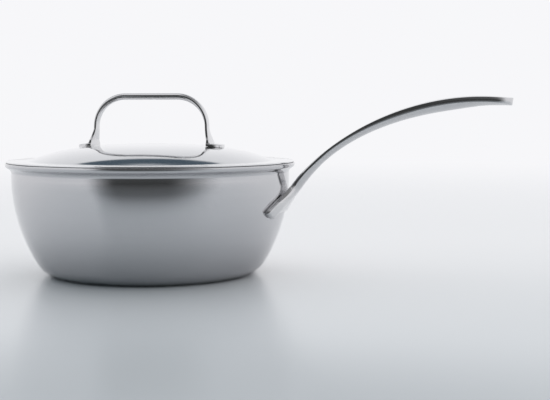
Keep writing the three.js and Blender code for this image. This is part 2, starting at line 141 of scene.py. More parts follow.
class Grain:
    """One output of a material's nodes, worked with in plain sums."""

    def __init__(self, socket):
        self.socket = socket

    def make(self, kind, settings, inputs, out=0):
        """A new node: its settings first, then values or links for its sockets."""
        tree = self.socket.id_data
        node = tree.nodes.new(kind)
        for key, value in settings.items():
            setattr(node, key, value)
        for key, value in inputs.items():
            if isinstance(value, Grain):
                tree.links.new(value.socket, node.inputs[key])
            else:
                node.inputs[key].default_value = value
        if isinstance(out, tuple):
            return [Grain(node.outputs[key]) for key in out]
        return Grain(node.outputs[out])

    def into(self, socket):
        self.socket.id_data.links.new(self.socket, socket)

    def sum_of(self, operation, a, b):
        return self.make("ShaderNodeMath", {"operation": operation}, {0: a, 1: b})

    def __add__(self, other):
        return self.sum_of("ADD", self, other)

    def __radd__(self, other):
        return self.sum_of("ADD", other, self)

    def __sub__(self, other):
        return self.sum_of("SUBTRACT", self, other)

    def __rsub__(self, other):
        return self.sum_of("SUBTRACT", other, self)

    def __mul__(self, other):
        return self.sum_of("MULTIPLY", self, other)

    def __rmul__(self, other):
        return self.sum_of("MULTIPLY", other, self)

    def __pow__(self, other):
        return self.sum_of("POWER", self, other)

    def ease(self, low, high):
        """A mask that eases from 0 at low to 1 at high."""
        inputs = {"Value": self, "From Min": low, "From Max": high}
        return self.make("ShaderNodeMapRange", {"interpolation_type": "SMOOTHSTEP"}, inputs)

    def cloud(self, across, along, detail=3.0):
        """Soft noise over a place, with so many grains to the metre across and along Z."""
        scale = (across, across, along)
        placed = self.make("ShaderNodeVectorMath", {"operation": "MULTIPLY"}, {0: self, 1: scale})
        return self.make("ShaderNodeTexNoise", {}, {"Vector": placed, "Scale": 1.0, "Detail": detail})

    def tint(self, low, high):
        """A colour between two, by this share: each a plain colour or one from other nodes."""
        low, high = (end if isinstance(end, Grain) else (*end, 1) for end in (low, high))
        return self.make("ShaderNodeMix", {"data_type": "RGBA"}, {0: self, 6: low, 7: high}, out=2)


def place_on(shader, kind="Object"):
    """The place on what a shader covers, measured in one of Blender's kinds of coordinates."""
    return Grain(shader.outputs[0]).make("ShaderNodeTexCoord", {}, {}, out=kind)


def split(place):
    return place.make("ShaderNodeSeparateXYZ", {}, {"Vector": place}, out=("X", "Y", "Z"))


def joined(x, y, z):
    return x.make("ShaderNodeCombineXYZ", {}, {"X": x, "Y": y, "Z": z})


def metal(name):
    """A metal to be finished: its material, its shader and the place on the piece."""
    material = bpy.data.materials.new(name)
    material.use_nodes = True
    shader = material.node_tree.nodes["Principled BSDF"]
    shader.inputs["Metallic"].default_value = 1.0
    return material, shader, place_on(shader)


def raise_lines(shader, lines, height):
    """Fine lines standing so many metres proud of a surface."""
    inputs = {"Height": lines, "Strength": 1.0, "Distance": height}
    lines.make("ShaderNodeBump", {}, inputs, out="Normal").into(shader.inputs["Normal"])


def give_finish(shader, wear, lines, clean, worn, smooth, rough, line_height):
    """Colour and roughness that go from clean to worn, over fine raised lines."""
    colour = wear.tint(clean, worn)
    colour.into(shader.inputs["Base Color"])
    (smooth + (rough - smooth) * wear).into(shader.inputs["Roughness"])
    raise_lines(shader, lines, line_height)
    return colour


def brushed_round(name, **steel):
    """Sheet brushed round the pan's axis in fine broken rings, with its colour and height."""
    material, shader, place = metal(name)
    x, y, z = split(place)
    ringed = joined(x, y, (x * x + y * y) ** 0.5 + z)
    lines = ringed.cloud(across=14, along=2600)
    bands = ringed.cloud(across=9, along=240)
    smears = place.cloud(across=22, along=22)
    colour = give_finish(shader, lines * 0.5 + bands * 0.3 + smears * 0.2, lines, **steel)
    return material, shader, colour, z


def outer_skin():
    edge = SKIN_PLY * LIP_SPREAD
    nose = arc(Vector((LIP_RADIUS - edge, RIM_HEIGHT - edge)), edge, 0, math.pi / 2, 6)
    under = lip_line(0, LIP_TURN, LIP_EDGE_HEIGHT)
    corner = bend(under[-3], under[-1], under[-1] + Vector((0, LIP_CORNER)), 8)
    inside = lip_line(SKIN_PLY, LIP_DROP / 2, 0)[::-1]
    back = bowl_line(SKIN_PLY, lip_start)[::-1]
    return bowl_line(0, lip_start) + under[:-3] + corner + nose + inside[1:] + back


outer_shell = turned("outer_shell_brushed", outer_skin())
satin, satin_shader, brushing, height = brushed_round(
    "satin_steel",
    clean=SATIN_STEEL, worn=SATIN_STEEL_WORN, smooth=0.06, rough=0.12, line_height=3e-7,
)
# Painted shade: the steel's colour darkens towards the base, for the dark floor and contact shadow it
# reflects there.
unshaded = UNSHADED_AT_BASE + (1 - UNSHADED_AT_BASE) * height.ease(0, BASE_SHADE_UP_TO)
unshaded.tint(BASE_SHADE_STEEL, brushing).into(satin_shader.inputs["Base Color"])
satin_shader.inputs["Anisotropic"].default_value = 0.3
satin_shader.inputs["Anisotropic Rotation"].default_value = 0.25
outer_shell.data.materials.append(satin)
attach(outer_shell, "pan")
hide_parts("outer_shell")

# Aluminium core: the middle ply of the clad sheet, rolled between the two steel plies.
# It is bonded all over and stops just below the lip, where the steel plies close over it.
# Mill-finished aluminium, with faint lines from the rolls.
ALUMINIUM = (0.70, 0.71, 0.73)
ALUMINIUM_DULL = (0.58, 0.59, 0.61)

aluminium, *_ = brushed_round(
    "mill_aluminium",
    clean=ALUMINIUM, worn=ALUMINIUM_DULL, smooth=0.38, rough=0.55, line_height=3e-6,
)
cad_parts["aluminium_core"].material_slots[0].material = aluminium

# Inner liner: the steel ply that touches the food, drawn together with the other plies.
# It closes over the core under the lip and meets the outer skin on the rim's flat land.
# Brushed in fine rings, a little duller than the outside.
CORE_PLY = 0.0017
LINER_PLY = 0.0007
BOND_LINE = 0.00015
CORE_STOP_BELOW_LIP = 0.002
LIP_EDGE_ROUNDING = 0.0009
LINER_STEEL = (0.65, 0.65, 0.655)
LINER_STEEL_WORN = (0.58, 0.58, 0.59)

lining_depth = SKIN_PLY + CORE_PLY + 2 * BOND_LINE
wall_thickness = lining_depth + LINER_PLY


def liner_skin():
    behind_skin = SKIN_PLY + BOND_LINE
    step = lip_start - (CORE_STOP_BELOW_LIP - BOND_LINE) / WALL_SWEEP_RADIUS
    over_core = arc(sweep_centre, WALL_SWEEP_RADIUS - behind_skin, step, lip_start, 2)
    inside = lip_line(wall_thickness, LIP_DROP / 2, LIP_EDGE_ROUNDING)[::-1]
    edge = Vector((inside[0].x + LIP_EDGE_ROUNDING, RIM_HEIGHT - LIP_EDGE_ROUNDING))
    land = arc(edge, LIP_EDGE_ROUNDING, math.pi / 2, math.pi, 5)
    back = bowl_line(wall_thickness, lip_start)[::-1]
    front = bowl_line(lining_depth, step) + over_core + lip_line(behind_skin, LIP_DROP / 2, 0)
    return front + land[:-1] + inside + back


inner_liner = turned("inner_liner_brushed", liner_skin())
lining, lining_shader, *_ = brushed_round(
    "liner_steel",
    clean=LINER_STEEL, worn=LINER_STEEL_WORN, smooth=0.18, rough=0.32, line_height=2e-6,
)
lining_shader.inputs["Anisotropic"].default_value = 0.35
inner_liner.data.materials.append(lining)
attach(inner_liner, "pan")
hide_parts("inner_liner")

# Long handle: one steel casting, welded to the wall by the feet of its forked root.
# Its upper face is nearly flat, its edges are thin and its belly is full; it rises past
# the lip and sweeps out to a nearly level grip with a hanging slot. Ground and polished.
SEAT_GAP = 0.0003
HANDLE_LEAVE_HEIGHT = 0.066
HANDLE_REACH = 0.190
HANDLE_RISE = 0.0857
HANDLE_ROOT_PULL = 0.0225
HANDLE_GRIP_PULL = 0.108
HANDLE_TIP_DROOP = math.radians(8)
HANDLE_FOOT_LENGTH = 0.014
HANDLE_FOOT_ARCH = 0.003
HANDLE_FOOT_CORNER = 0.005
HANDLE_FOOT_SPAN = 0.098
HANDLE_FOOT_THICKNESS = 0.0052
HANDLE_FOOT_EDGE = 0.0042
HANDLE_FOOT_NOSE = 0.002
HANDLE_WEB_NOSE = 0.014
HANDLE_WEB_ACROSS = 0.4
HANDLE_WEB_LEAST = 0.08
HANDLE_FOOT_ACROSS = 0.82
HANDLE_FOOT_SQUARE = 0.7
HANDLE_ARCH_SQUARENESS = 8
HANDLE_NOSE_LEAST = 0.5
HANDLE_SWELL_BELOW = 0.008
HANDLE_SHOULDER_OUT = 0.015
HANDLE_SHOULDER_WIDTH = 0.021
HANDLE_SHOULDER_THICKNESS = 0.0078
HANDLE_NECK_OUT = 0.055
HANDLE_NECK_WIDTH = 0.016
HANDLE_NECK_THICKNESS = 0.0064
HANDLE_WRIST_EDGE_OUT = 0.035
HANDLE_WRIST_EDGE = 0.0030
HANDLE_NECK_EDGE_OUT = 0.060
HANDLE_NECK_EDGE = 0.0026
HANDLE_GRIP_OUT = 0.165
HANDLE_GRIP_WIDTH = 0.0235
HANDLE_GRIP_THICKNESS = 0.0106
HANDLE_GRIP_EDGE_OUT = 0.140
HANDLE_GRIP_EDGE = 0.0045
HANDLE_GRIP_CROWN = 0.0009
HANDLE_TIP_THICKNESS = 0.007
HANDLE_TIP_ROUNDING = 0.014
HANDLE_BELLY_FULLNESS = 2.4
HANDLE_UPPER_CORNERS = [(0, 0.0015), (0.035, 0.0013), (0.058, 0.0004), (0.100, 0.0003)]
HANDLE_LOWER_CORNERS = [(-0.004, 0.0008), (0.025, 0.0006), (0.060, 0.0003)]
HANDLE_CORNER_MOST = 0.4
HANDLE_LINE_STEPS = 800
HANDLE_RINGS = 64
HANDLE_RINGS_CROWD = 1.4
HANDLE_CREASE = 50
HANGING_SLOT_LENGTH = 0.022
HANGING_SLOT_WIDTH = 0.008
HANGING_SLOT_FROM_TIP = 0.009
HANGING_SLOT_EASING = 0.0007
HANGING_SLOT_THINNING = 0.0006
SLOT_CUTTER_PROUD = 0.003
HANDLE_STEEL = (0.68, 0.68, 0.69)
HANDLE_STEEL_WORN = (0.61, 0.61, 0.62)

leave_angle = math.asin((HANDLE_LEAVE_HEIGHT - sweep_centre.y) / WALL_SWEEP_RADIUS)
leave = sweep_point(-SEAT_GAP, leave_angle)
tip = leave + Vector((HANDLE_REACH, HANDLE_RISE))
up_the_wall = Vector((-math.sin(leave_angle), math.cos(leave_angle)))
back_from_tip = Vector((-math.cos(HANDLE_TIP_DROOP), math.sin(HANDLE_TIP_DROOP)))
pulls = [leave, leave + HANDLE_ROOT_PULL * up_the_wall, tip + HANDLE_GRIP_PULL * back_from_tip, tip]
foot_start = -HANDLE_FOOT_LENGTH


def upper_curve(t):
    """A point of the handle's upper line, from the wall at 0 to the tip at 1."""
    shares = ((1 - t) ** 3, 3 * t * (1 - t) ** 2, 3 * t * t * (1 - t), t ** 3)
    return sum((share * pull for share, pull in zip(shares, pulls)), Vector((0, 0)))


line_shares = [i / HANDLE_LINE_STEPS for i in range(HANDLE_LINE_STEPS + 1)]
line_points = [upper_curve(t) for t in line_shares]
line_places = [0.0]
for before, after in zip(line_points, line_points[1:]):
    line_places.append(line_places[-1] + (after - before).length)
handle_length = line_places[-1]
straight_end = handle_length - HANDLE_TIP_ROUNDING


def upper_line(place):
    """Where the upper line is at a place along it, and which way it runs there."""
    if place < 0:
        angle = leave_angle + place / WALL_SWEEP_RADIUS
        return sweep_point(-SEAT_GAP, angle), Vector((-math.sin(angle), math.cos(angle)))
    i = min(bisect.bisect_right(line_places, place), len(line_places) - 1)
    run = line_points[i] - line_points[i - 1]
    share = (place - line_places[i - 1]) / run.length
    here = line_shares[i - 1] + share / HANDLE_LINE_STEPS
    ahead = upper_curve(here + 0.5 / HANDLE_LINE_STEPS)
    behind = upper_curve(here - 0.5 / HANDLE_LINE_STEPS)
    return upper_curve(here), (ahead - behind).normalized()


def eased(value, low, high):
    share = min(max((value - low) / (high - low), 0), 1)
    return share * share * (3 - 2 * share)


def by_stops(stops, place):
    """A smooth value between stops of place and value."""
    value = stops[0][1]
    for (low, _), (high, reached) in zip(stops, stops[1:]):
        value += (reached - value) * eased(place, low, high)
    return value


def tip_share(place):
    """Share of the width that is left where the grip's end is rounded off."""
    past = max((place - straight_end) / HANDLE_TIP_ROUNDING, 0)
    return math.sqrt(max(1 - past * past, 0))


def root_end(across):
    """Where the root ends: two rounded feet with an arch between them."""
    inside = min(abs(across) / HANDLE_FOOT_ACROSS, 1)
    outside = max((abs(across) - HANDLE_FOOT_ACROSS) / (1 - HANDLE_FOOT_ACROSS), 0)
    arch = HANDLE_FOOT_ARCH * (1 - inside ** HANDLE_ARCH_SQUARENESS)
    return foot_start + arch + HANDLE_FOOT_CORNER * outside ** 2


def nose_share(place, across):
    """Share of the thickness left at the root's end: round on the feet, a long taper between."""
    foot = eased(abs(across), HANDLE_WEB_ACROSS, HANDLE_FOOT_ACROSS)
    nose = HANDLE_WEB_NOSE + (HANDLE_FOOT_NOSE - HANDLE_WEB_NOSE) * foot
    least = HANDLE_WEB_LEAST + (HANDLE_NOSE_LEAST - HANDLE_WEB_LEAST) * foot
    done = min((place - root_end(across)) / nose, 1)
    taper = math.sin(done * math.pi / 2)
    share = taper + (math.sqrt(1 - (1 - done) ** 2) - taper) * foot
    return least + (1 - least) * share


def handle_point(place, across, side):
    """A point of the handle's skin: a place along it, a share across it and a side.

    The sides are 0 for the upper face and 1 for the belly, with the edge between them.
    """
    half = by_stops([
        (foot_start * HANDLE_FOOT_SQUARE, HANDLE_FOOT_SPAN / 2),
        (HANDLE_SHOULDER_OUT, HANDLE_SHOULDER_WIDTH / 2),
        (HANDLE_NECK_OUT, HANDLE_NECK_WIDTH / 2),
        (HANDLE_GRIP_OUT, HANDLE_GRIP_WIDTH / 2),
    ], place) * tip_share(place)
    thickness = by_stops([
        (-HANDLE_SWELL_BELOW, HANDLE_FOOT_THICKNESS),
        (HANDLE_SHOULDER_OUT, HANDLE_SHOULDER_THICKNESS),
        (HANDLE_NECK_OUT, HANDLE_NECK_THICKNESS),
        (HANDLE_GRIP_OUT, HANDLE_GRIP_THICKNESS),
        (handle_length, HANDLE_TIP_THICKNESS),
    ], place)
    edge = by_stops([
        (0, HANDLE_FOOT_EDGE),
        (HANDLE_WRIST_EDGE_OUT, HANDLE_WRIST_EDGE),
        (HANDLE_NECK_EDGE_OUT, HANDLE_NECK_EDGE),
        (HANDLE_GRIP_EDGE_OUT, HANDLE_GRIP_EDGE),
    ], place)
    crown = by_stops([(0, 0), (HANDLE_GRIP_OUT, HANDLE_GRIP_CROWN)], place)
    belly = (thickness - edge - crown) * math.sqrt(tip_share(place))
    corners = HANDLE_UPPER_CORNERS if side < 0.5 else HANDLE_LOWER_CORNERS
    corner = min(by_stops(corners, place), HANDLE_CORNER_MOST * half)
    turn = math.pi * (side - 0.5)
    y = across * (half - corner + corner * math.cos(turn))
    if side < 0.5:
        sink = corner * (1 + math.sin(turn)) + crown * (across * across if side == 0 else 1)
    else:
        sink = crown + edge - corner * (1 - math.sin(turn))
    if side == 1:
        sink += belly * (1 - abs(across) ** HANDLE_BELLY_FULLNESS)
    sink *= nose_share(place, across)
    top, rise = upper_line(place)
    wrap = 1 - eased(place, 0, HANDLE_NECK_OUT)
    round_wall = top.x - math.sqrt(top.x * top.x - y * y)
    return Vector((top.x + rise.y * sink - round_wall * wrap, y, top.y - rise.x * sink))


def skinned(rings, closers):
    """A skin over rings with the same number of points, with end faces from closers."""
    shape = bmesh.new()
    laid = [[shape.verts.new(point) for point in ring] for ring in rings]
    count = len(rings[0])
    for near, far in zip(laid, laid[1:]):
        for i in range(count):
            j = (i + 1) % count
            shape.faces.new((near[i], near[j], far[j], far[i]))
    for ring, closer in zip((laid[0], laid[-1]), closers):
        closer(shape, ring)
    return shape


def handle_body():
    columns = [math.sin(math.pi / 2 * i / 24) for i in range(-24, 25)][::-1]
    corners = [0.06, 0.18, 0.30, 0.44, 0.56, 0.70, 0.82, 0.94]
    rings = []

    def ring_at(place_of):
        upper = [handle_point(place_of(a), a, 0) for a in columns]
        far_edge = [handle_point(place_of(-1), -1, side) for side in corners]
        belly = [handle_point(place_of(-a), -a, 1) for a in columns]
        near_edge = [handle_point(place_of(1), 1, side) for side in corners[::-1]]
        return upper + far_edge + belly + near_edge

    def close(shape, ring):
        count, rim = len(columns), len(corners)
        upper, far_edge = ring[:count], ring[count:count + rim]
        belly, near_edge = ring[count + rim:2 * count + rim], ring[2 * count + rim:]
        for i in range(count - 1):
            shape.faces.new((upper[i], upper[i + 1], belly[count - 2 - i], belly[count - 1 - i]))
        shape.faces.new([upper[-1], *far_edge, belly[0]])
        shape.faces.new([belly[-1], *near_edge, upper[0]])

    for share in (0, 0.02, 0.06, 0.12, 0.19, 0.27, 0.36, 0.46, 0.57, 0.68, 0.79, 0.9):
        rings.append(ring_at(lambda a: root_end(a) * (1 - share)))
    for i in range(HANDLE_RINGS):
        place = straight_end * (i / HANDLE_RINGS) ** HANDLE_RINGS_CROWD
        rings.append(ring_at(lambda a: place))
    for turn in (0, 12, 24, 35, 45, 54, 62, 68, 73, 77, 80.5, 83.5, 86, 88):
        place = straight_end + HANDLE_TIP_ROUNDING * math.sin(math.radians(turn))
        rings.append(ring_at(lambda a: place))
    return finished("pan_handle_polished", skinned(rings, (close, close)), HANDLE_CREASE)


def flat_end(shape, ring):
    shape.faces.new(ring)


def slot_cutter():
    """A long round-ended plug, flared where it leaves the grip's upper face and belly."""
    half = HANGING_SLOT_WIDTH / 2
    middle_out = HANGING_SLOT_FROM_TIP + HANGING_SLOT_LENGTH / 2
    top, rise = upper_line(handle_length - middle_out)
    down = Vector((rise.y, -rise.x))
    reach = HANGING_SLOT_LENGTH / 2 - half
    deep = HANDLE_GRIP_THICKNESS - HANGING_SLOT_THINNING
    ease = HANGING_SLOT_EASING
    part_way = 0.35 * ease
    layers = [
        (-SLOT_CUTTER_PROUD, half + ease + SLOT_CUTTER_PROUD),
        (0, half + ease),
        (part_way, half + part_way),
        (ease, half),
    ]
    layers += [(deep - depth, radius) for depth, radius in layers[::-1]]
    rings = []
    for depth, radius in layers:
        ring = []
        for i in range(48):
            turn = 2 * math.pi * (i + 0.5) / 48
            out = radius * math.cos(turn) + math.copysign(reach, math.cos(turn))
            place = top + rise * out + down * depth
            ring.append(Vector((place.x, radius * math.sin(turn), place.y)))
        rings.append(ring)
    return finished("slot_cutter", skinned(rings, (flat_end, flat_end)), HANDLE_CREASE)


pan_handle = handle_body()
cutter = slot_cutter()
cut = pan_handle.modifiers.new("hanging_slot", "BOOLEAN")
cut.operation = "DIFFERENCE"
cut.solver = "EXACT"
cut.object = cutter
graph = bpy.context.evaluated_depsgraph_get()
slotted = bpy.data.meshes.new_from_object(pan_handle.evaluated_get(graph))
pan_handle.modifiers.clear()
pan_handle.data = slotted
pan_handle.data.set_sharp_from_angle(angle=math.radians(HANDLE_CREASE))
bpy.data.objects.remove(cutter)


def polished_along(name, **steel):
    """Steel polished along X, with faint long lines left by the belt and a few dull patches."""
    material, shader, place = metal(name)
    x, y, z = split(place)
    laid = joined(y, z, x)
    lines = laid.cloud(across=2200, along=30, detail=2.0)
    smears = laid.cloud(across=45, along=18)
    give_finish(shader, lines * 0.45 + smears * 0.55, lines, **steel)
    return material


handle_steel = polished_along(
    "polished_casting",
    clean=HANDLE_STEEL, worn=HANDLE_STEEL_WORN, smooth=0.07, rough=0.15, line_height=2e-7,
)
pan_handle.data.materials.clear()
pan_handle.data.materials.append(handle_steel)
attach(pan_handle, "pan")
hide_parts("pan_handle")

# Lid shell: pressed from one steel sheet, with a flat-crowned dome, a flange that rests
# on the pan's lip and a short skirt welded under it that keeps the lid centred.
# The outside is polished bright, with faint rings left by the mop.
LID_RISE = 0.014
LID_SHEET = 0.001
LID_FLANGE_WIDTH = 0.0183
LID_EDGE_SETBACK = 0.0007
LID_EDGE_ROUNDING = 0.0003
LID_SKIRT_DEPTH = 0.005
LID_SKIRT_CLEARANCE = 0.001
LID_DOME_FULLNESS = 3
LID_CREASE = 0.001
LID_RINGS = 48
LID_RINGS_CROWD = 0.8
LID_STEEL = (0.84, 0.845, 0.855)
LID_STEEL_WORN = (0.78, 0.785, 0.795)

flange_under = RIM_HEIGHT + SEAT_GAP
flange_top = flange_under + LID_SHEET
lid_edge = LIP_RADIUS - LID_EDGE_SETBACK
dome_edge = lid_edge - LID_FLANGE_WIDTH
skirt_outer = wall_radius - wall_thickness - LID_SKIRT_CLEARANCE
skirt_inner = skirt_outer - LID_SHEET


def dome_height(radius):
    return flange_top + LID_RISE * (1 - (radius / dome_edge) ** LID_DOME_FULLNESS)


def dome_line(depth):
    """From the axis over the dome and its eased edge to the flange, at a depth below the top."""
    down = Vector((0, -depth))
    inside = dome_edge - LID_CREASE
    radii = [inside * (i / LID_RINGS) ** LID_RINGS_CROWD for i in range(LID_RINGS + 1)]
    dome = [Vector((radius, dome_height(radius))) + down for radius in radii]
    foot = Vector((dome_edge, flange_top)) + down
    return dome[:-1] + bend(dome[-1], foot, foot + Vector((LID_CREASE, 0)), 8)


def lid_skin():
    skirt_foot = flange_under - LID_SKIRT_DEPTH
    ease = LID_EDGE_ROUNDING
    below = dome_line(LID_SHEET) + [Vector((skirt_inner - ease, flange_under))]
    below += [Vector((skirt_inner, flange_under)), Vector((skirt_inner, flange_under - ease))]
    foot_middle = Vector((skirt_inner + LID_SHEET / 2, skirt_foot + LID_SHEET / 2))
    foot = arc(foot_middle, LID_SHEET / 2, math.pi, 2 * math.pi, 6)
    seat = [Vector((skirt_outer, flange_under - ease)), Vector((skirt_outer, flange_under))]
    seat += [Vector((skirt_outer + ease, flange_under))]
    rim = arc(Vector((lid_edge - ease, flange_under + ease)), ease, -math.pi / 2, 0, 4)
    rim += arc(Vector((lid_edge - ease, flange_top - ease)), ease, 0, math.pi / 2, 4)
    return below + foot + seat + rim + dome_line(0)[::-1]


lid_shell = turned("lid_shell_polished", lid_skin())


def mopped_round(name, **steel):
    """Steel polished on a spindle, with faint rings and a few fingered smears."""
    material, shader, place = metal(name)
    x, y, z = split(place)
    ringed = joined(x, y, (x * x + y * y) ** 0.5 - z)
    lines = ringed.cloud(across=10, along=1500)
    smears = place.cloud(across=30, along=30)
    give_finish(shader, lines * 0.4 + smears * 0.6, lines, **steel)
    return material


lid_steel = mopped_round(
    "polished_lid",
    clean=LID_STEEL, worn=LID_STEEL_WORN, smooth=0.04, rough=0.12, line_height=4e-7,
)
lid_shell.data.materials.append(lid_steel)
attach(lid_shell, "lid")
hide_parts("lid_shell")

# Lid handle: one forged arch of steel, a thick oval bar that thins through its bends to
# flat legs, which spread and lean out into round-toed feet. Welded to the dome, polished.
LIFTER_SPAN = 0.0986
LIFTER_RISE = 0.0413
LIFTER_BEND_RADIUS = 0.026
LIFTER_BAR_WIDTH = 0.011
LIFTER_BAR_THICKNESS = 0.0056
LIFTER_LEG_WIDTH = 0.0105
LIFTER_LEG_THICKNESS = 0.0022
LIFTER_LEG_LEAN = 0.0024
LIFTER_ANKLE_WIDTH = 0.023
LIFTER_INSTEP_WIDTH = 0.026
LIFTER_FOOT_WIDTH = 0.028
LIFTER_FOOT_LENGTH = 0.0156
LIFTER_FOOT_THICKNESS = 0.0024
LIFTER_FOOT_ROUNDING = 0.00084
LIFTER_FOOT_FILLET = 0.0025
LIFTER_FLARE = 1.6
LIFTER_THINS_FROM = 0.1
LIFTER_THINS_TO = 1.1
LIFTER_BAR_UPPER_CORNER = Vector((0.0024, 0.0052))
LIFTER_BAR_LOWER_CORNER = Vector((0.0032, 0.0052))
LIFTER_LEG_CORNER = Vector((0.0004, 0.0004))
LIFTER_FOOT_ROUNDNESS = 0.8
LIFTER_CORNER_STEPS = 12
LIFTER_CREASE = 60
LIFTER_STEEL = (0.70, 0.70, 0.71)
LIFTER_STEEL_WORN = (0.63, 0.63, 0.64)

lifter_leg = LIFTER_SPAN / 2
lifter_top = flange_top + LID_RISE + LIFTER_RISE
bend_centre = Vector((lifter_leg - LIFTER_BEND_RADIUS, lifter_top - LIFTER_BEND_RADIUS))
leg_half = LIFTER_LEG_THICKNESS / 2


def lifter_ring(middle, out, inwards, outwards, half, inner, outer):
    """A ring across the arch: its middle, its reach both ways, half its width and its corners.

    Each corner is a quarter of an ellipse, given by its depth and its breadth.
    """
    ring = []
    for i in range(4 * LIFTER_CORNER_STEPS):
        turn = math.pi / 2 * (i + 0.5) / LIFTER_CORNER_STEPS
        depth, breadth = outer if math.cos(turn) > 0 else inner
        away = outwards - depth if math.cos(turn) > 0 else depth - inwards
        aside = math.copysign(half - breadth, math.sin(turn))
        place = middle + out * (away + depth * math.cos(turn))
        ring.append(Vector((place.x, -aside - breadth * math.sin(turn), place.y)))
    return ring


def foot_ring(lean, outwards, half, height):
    """A ring of a leg or its foot, lying at a height above the dome all round."""
    middle = Vector((lifter_leg + lean, 0))
    toe_corner = LIFTER_LEG_CORNER + Vector((1, 1)) * LIFTER_FOOT_ROUNDNESS * (outwards - leg_half)
    ring = lifter_ring(middle, Vector((1, 0)), leg_half, outwards, half, LIFTER_LEG_CORNER, toe_corner)
    for point in ring:
        point.z = dome_height(math.hypot(point.x, point.y)) + SEAT_GAP + height
    return ring


def lifter_half():
    """Rings from the middle of the bar, round one bend and down to the sole of one foot."""
    bar_half = LIFTER_BAR_THICKNESS / 2
    bar_corners = (LIFTER_BAR_LOWER_CORNER, LIFTER_BAR_UPPER_CORNER)
    up = Vector((0, 1))
    rings = []
    for i in range(8):
        middle = Vector((bend_centre.x * i / 8, lifter_top))
        rings.append(lifter_ring(middle, up, bar_half, bar_half, LIFTER_BAR_WIDTH / 2, *bar_corners))
    for i in range(25):
        share = i / 24
        angle = math.pi / 2 * (1 - share)
        out = Vector((math.cos(angle), math.sin(angle)))
        thin = eased(share, LIFTER_THINS_FROM, LIFTER_THINS_TO)
        depth = bar_half + (leg_half - bar_half) * thin
        width = LIFTER_BAR_WIDTH + (LIFTER_LEG_WIDTH - LIFTER_BAR_WIDTH) * share
        corners = [corner.lerp(LIFTER_LEG_CORNER, thin) for corner in bar_corners]
        middle = bend_centre + LIFTER_BEND_RADIUS * out
        rings.append(lifter_ring(middle, out, depth, depth, width / 2, *corners))
    leg_top = bend_centre.y - dome_height(lifter_leg) - SEAT_GAP
    leg_foot = LIFTER_FOOT_THICKNESS + LIFTER_FOOT_FILLET
    for i in range(1, 16):
        share = i / 16
        spread = share ** LIFTER_FLARE
        width = LIFTER_LEG_WIDTH + (LIFTER_ANKLE_WIDTH - LIFTER_LEG_WIDTH) * spread
        height = leg_top + (leg_foot - leg_top) * share
        rings.append(foot_ring(LIFTER_LEG_LEAN * spread, leg_half, width / 2, height))
    for i in range(13):
        turn = math.pi / 2 * i / 12
        height = LIFTER_FOOT_THICKNESS + LIFTER_FOOT_FILLET * (1 - math.sin(turn))
        outwards = leg_half + LIFTER_FOOT_FILLET * (1 - math.cos(turn))
        width = LIFTER_ANKLE_WIDTH + (LIFTER_INSTEP_WIDTH - LIFTER_ANKLE_WIDTH) * math.sin(turn)
        rings.append(foot_ring(LIFTER_LEG_LEAN, outwards, width / 2, height))
    toe = LIFTER_FOOT_LENGTH - leg_half - LIFTER_LEG_LEAN
    sole_half = LIFTER_FOOT_WIDTH / 2
    ease = LIFTER_FOOT_ROUNDING
    instep_out = leg_half + LIFTER_FOOT_FILLET
    instep_half = LIFTER_INSTEP_WIDTH / 2
    for share in (0.25, 0.5, 0.75):
        outwards = instep_out + (toe - ease - instep_out) * share
        half = instep_half + (sole_half - ease - instep_half) * share
        rings.append(foot_ring(LIFTER_LEG_LEAN, outwards, half, LIFTER_FOOT_THICKNESS))
    for i in range(6):
        turn = math.pi / 2 * i / 5
        out = ease * (1 - math.sin(turn))
        height = LIFTER_FOOT_THICKNESS - ease * (1 - math.cos(turn))
        rings.append(foot_ring(LIFTER_LEG_LEAN, toe - out, sole_half - out, height))
    rings.append(foot_ring(LIFTER_LEG_LEAN, toe, sole_half, 0))
    return rings


right_half = lifter_half()
left_half = [[Vector((-p.x, p.y, p.z)) for p in ring] for ring in right_half[1:]][::-1]
arch_skin = skinned(left_half + right_half, (flat_end, flat_end))
lid_handle = finished("lid_handle_polished", arch_skin, LIFTER_CREASE)
lifter_steel = polished_along(
    "polished_arch",
    clean=LIFTER_STEEL, worn=LIFTER_STEEL_WORN, smooth=0.06, rough=0.12, line_height=1e-7,
)
lid_handle.data.materials.append(lifter_steel)
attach(lid_handle, "lid")
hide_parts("lid_handle")

# Weld nuggets: two join the long handle's feet to the wall, two the arch's feet to the
# dome. Fused steel squeezed between the pieces, grey and rippled, with a straw heat tint.
WELD_GREY = (0.50, 0.49, 0.47)
WELD_STRAW = (0.55, 0.47, 0.36)
WELD_RIPPLE = 5e-5

weld, weld_shader, weld_place = metal("fused_weld")
ripple = weld_place.cloud(across=900, along=900, detail=4.0)
ripple.ease(0.35, 0.7).tint(WELD_GREY, WELD_STRAW).into(weld_shader.inputs["Base Color"])
(0.38 + 0.25 * ripple).into(weld_shader.inputs["Roughness"])
raise_lines(weld_shader, ripple, WELD_RIPPLE)
for node in ("handle_weld_left", "handle_weld_right", "lid_weld_left", "lid_weld_right"):
    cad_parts[node].material_slots[0].material = weld

# Table top: a wide smooth pale sheet with a soft sheen, on which the pan stands.
# Its colour is painted darker towards the camera, a painted shade for light that falls off at the
# front, and far off it runs out into the backdrop's own tone.
TABLE_REACH = 9.0
TABLE_GAP = 0.0002
TABLE_SHEEN = 0.2
TABLE_SHADED_FRONT = (0.71, 0.745, 0.77)
TABLE_LIT_BACK = (0.96, 0.96, 0.965)
TABLE_SHADE_FROM = -0.5
TABLE_SHADE_TO = 0.30
BACKDROP = (0.93, 0.93, 0.95)
BACKDROP_FROM = 0.5
BACKDROP_TO = 2.4
VIEW_TURN = math.radians(8)

